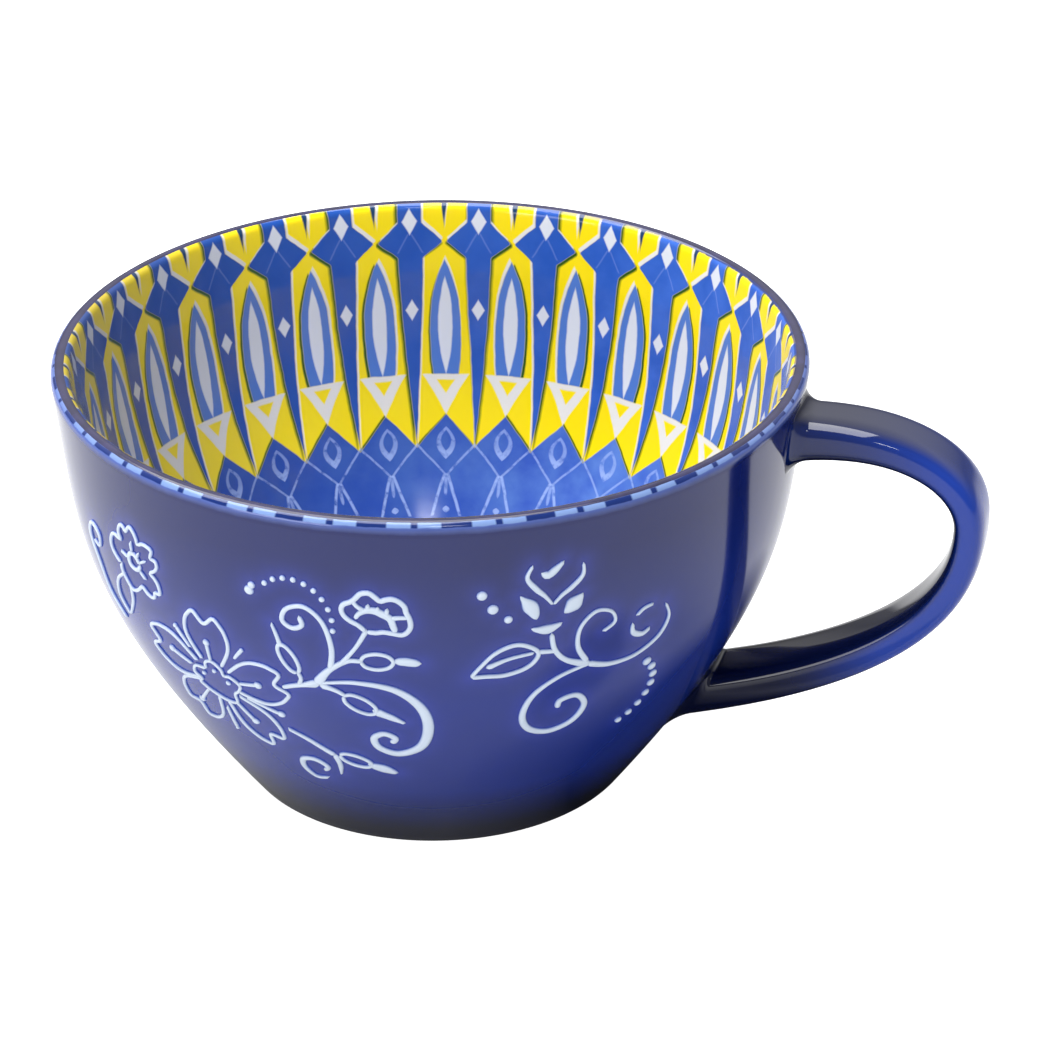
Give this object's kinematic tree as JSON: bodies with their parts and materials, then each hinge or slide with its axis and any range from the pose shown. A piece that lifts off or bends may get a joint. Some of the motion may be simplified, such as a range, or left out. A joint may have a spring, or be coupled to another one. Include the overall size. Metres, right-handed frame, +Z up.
{
  "type": "cup",
  "caption": "Wide glazed cup with a rounded lip, steep bowl, foot ring, one loop handle and raised flower ornament.",
  "frame": {"origin": "on the axis of the bowl, in the plane of the foot ring that the cup stands on", "axes": "+Z up through the mouth, +X towards the handle, whose loop lies in the XZ plane"},
  "size_m": [0.1495, 0.12, 0.072],
  "materials": {
    "blue_glaze": "gloss"
  },
  "bodies": {
    "root": {"cup": "blue_glaze"}
  },
  "joints": []
}
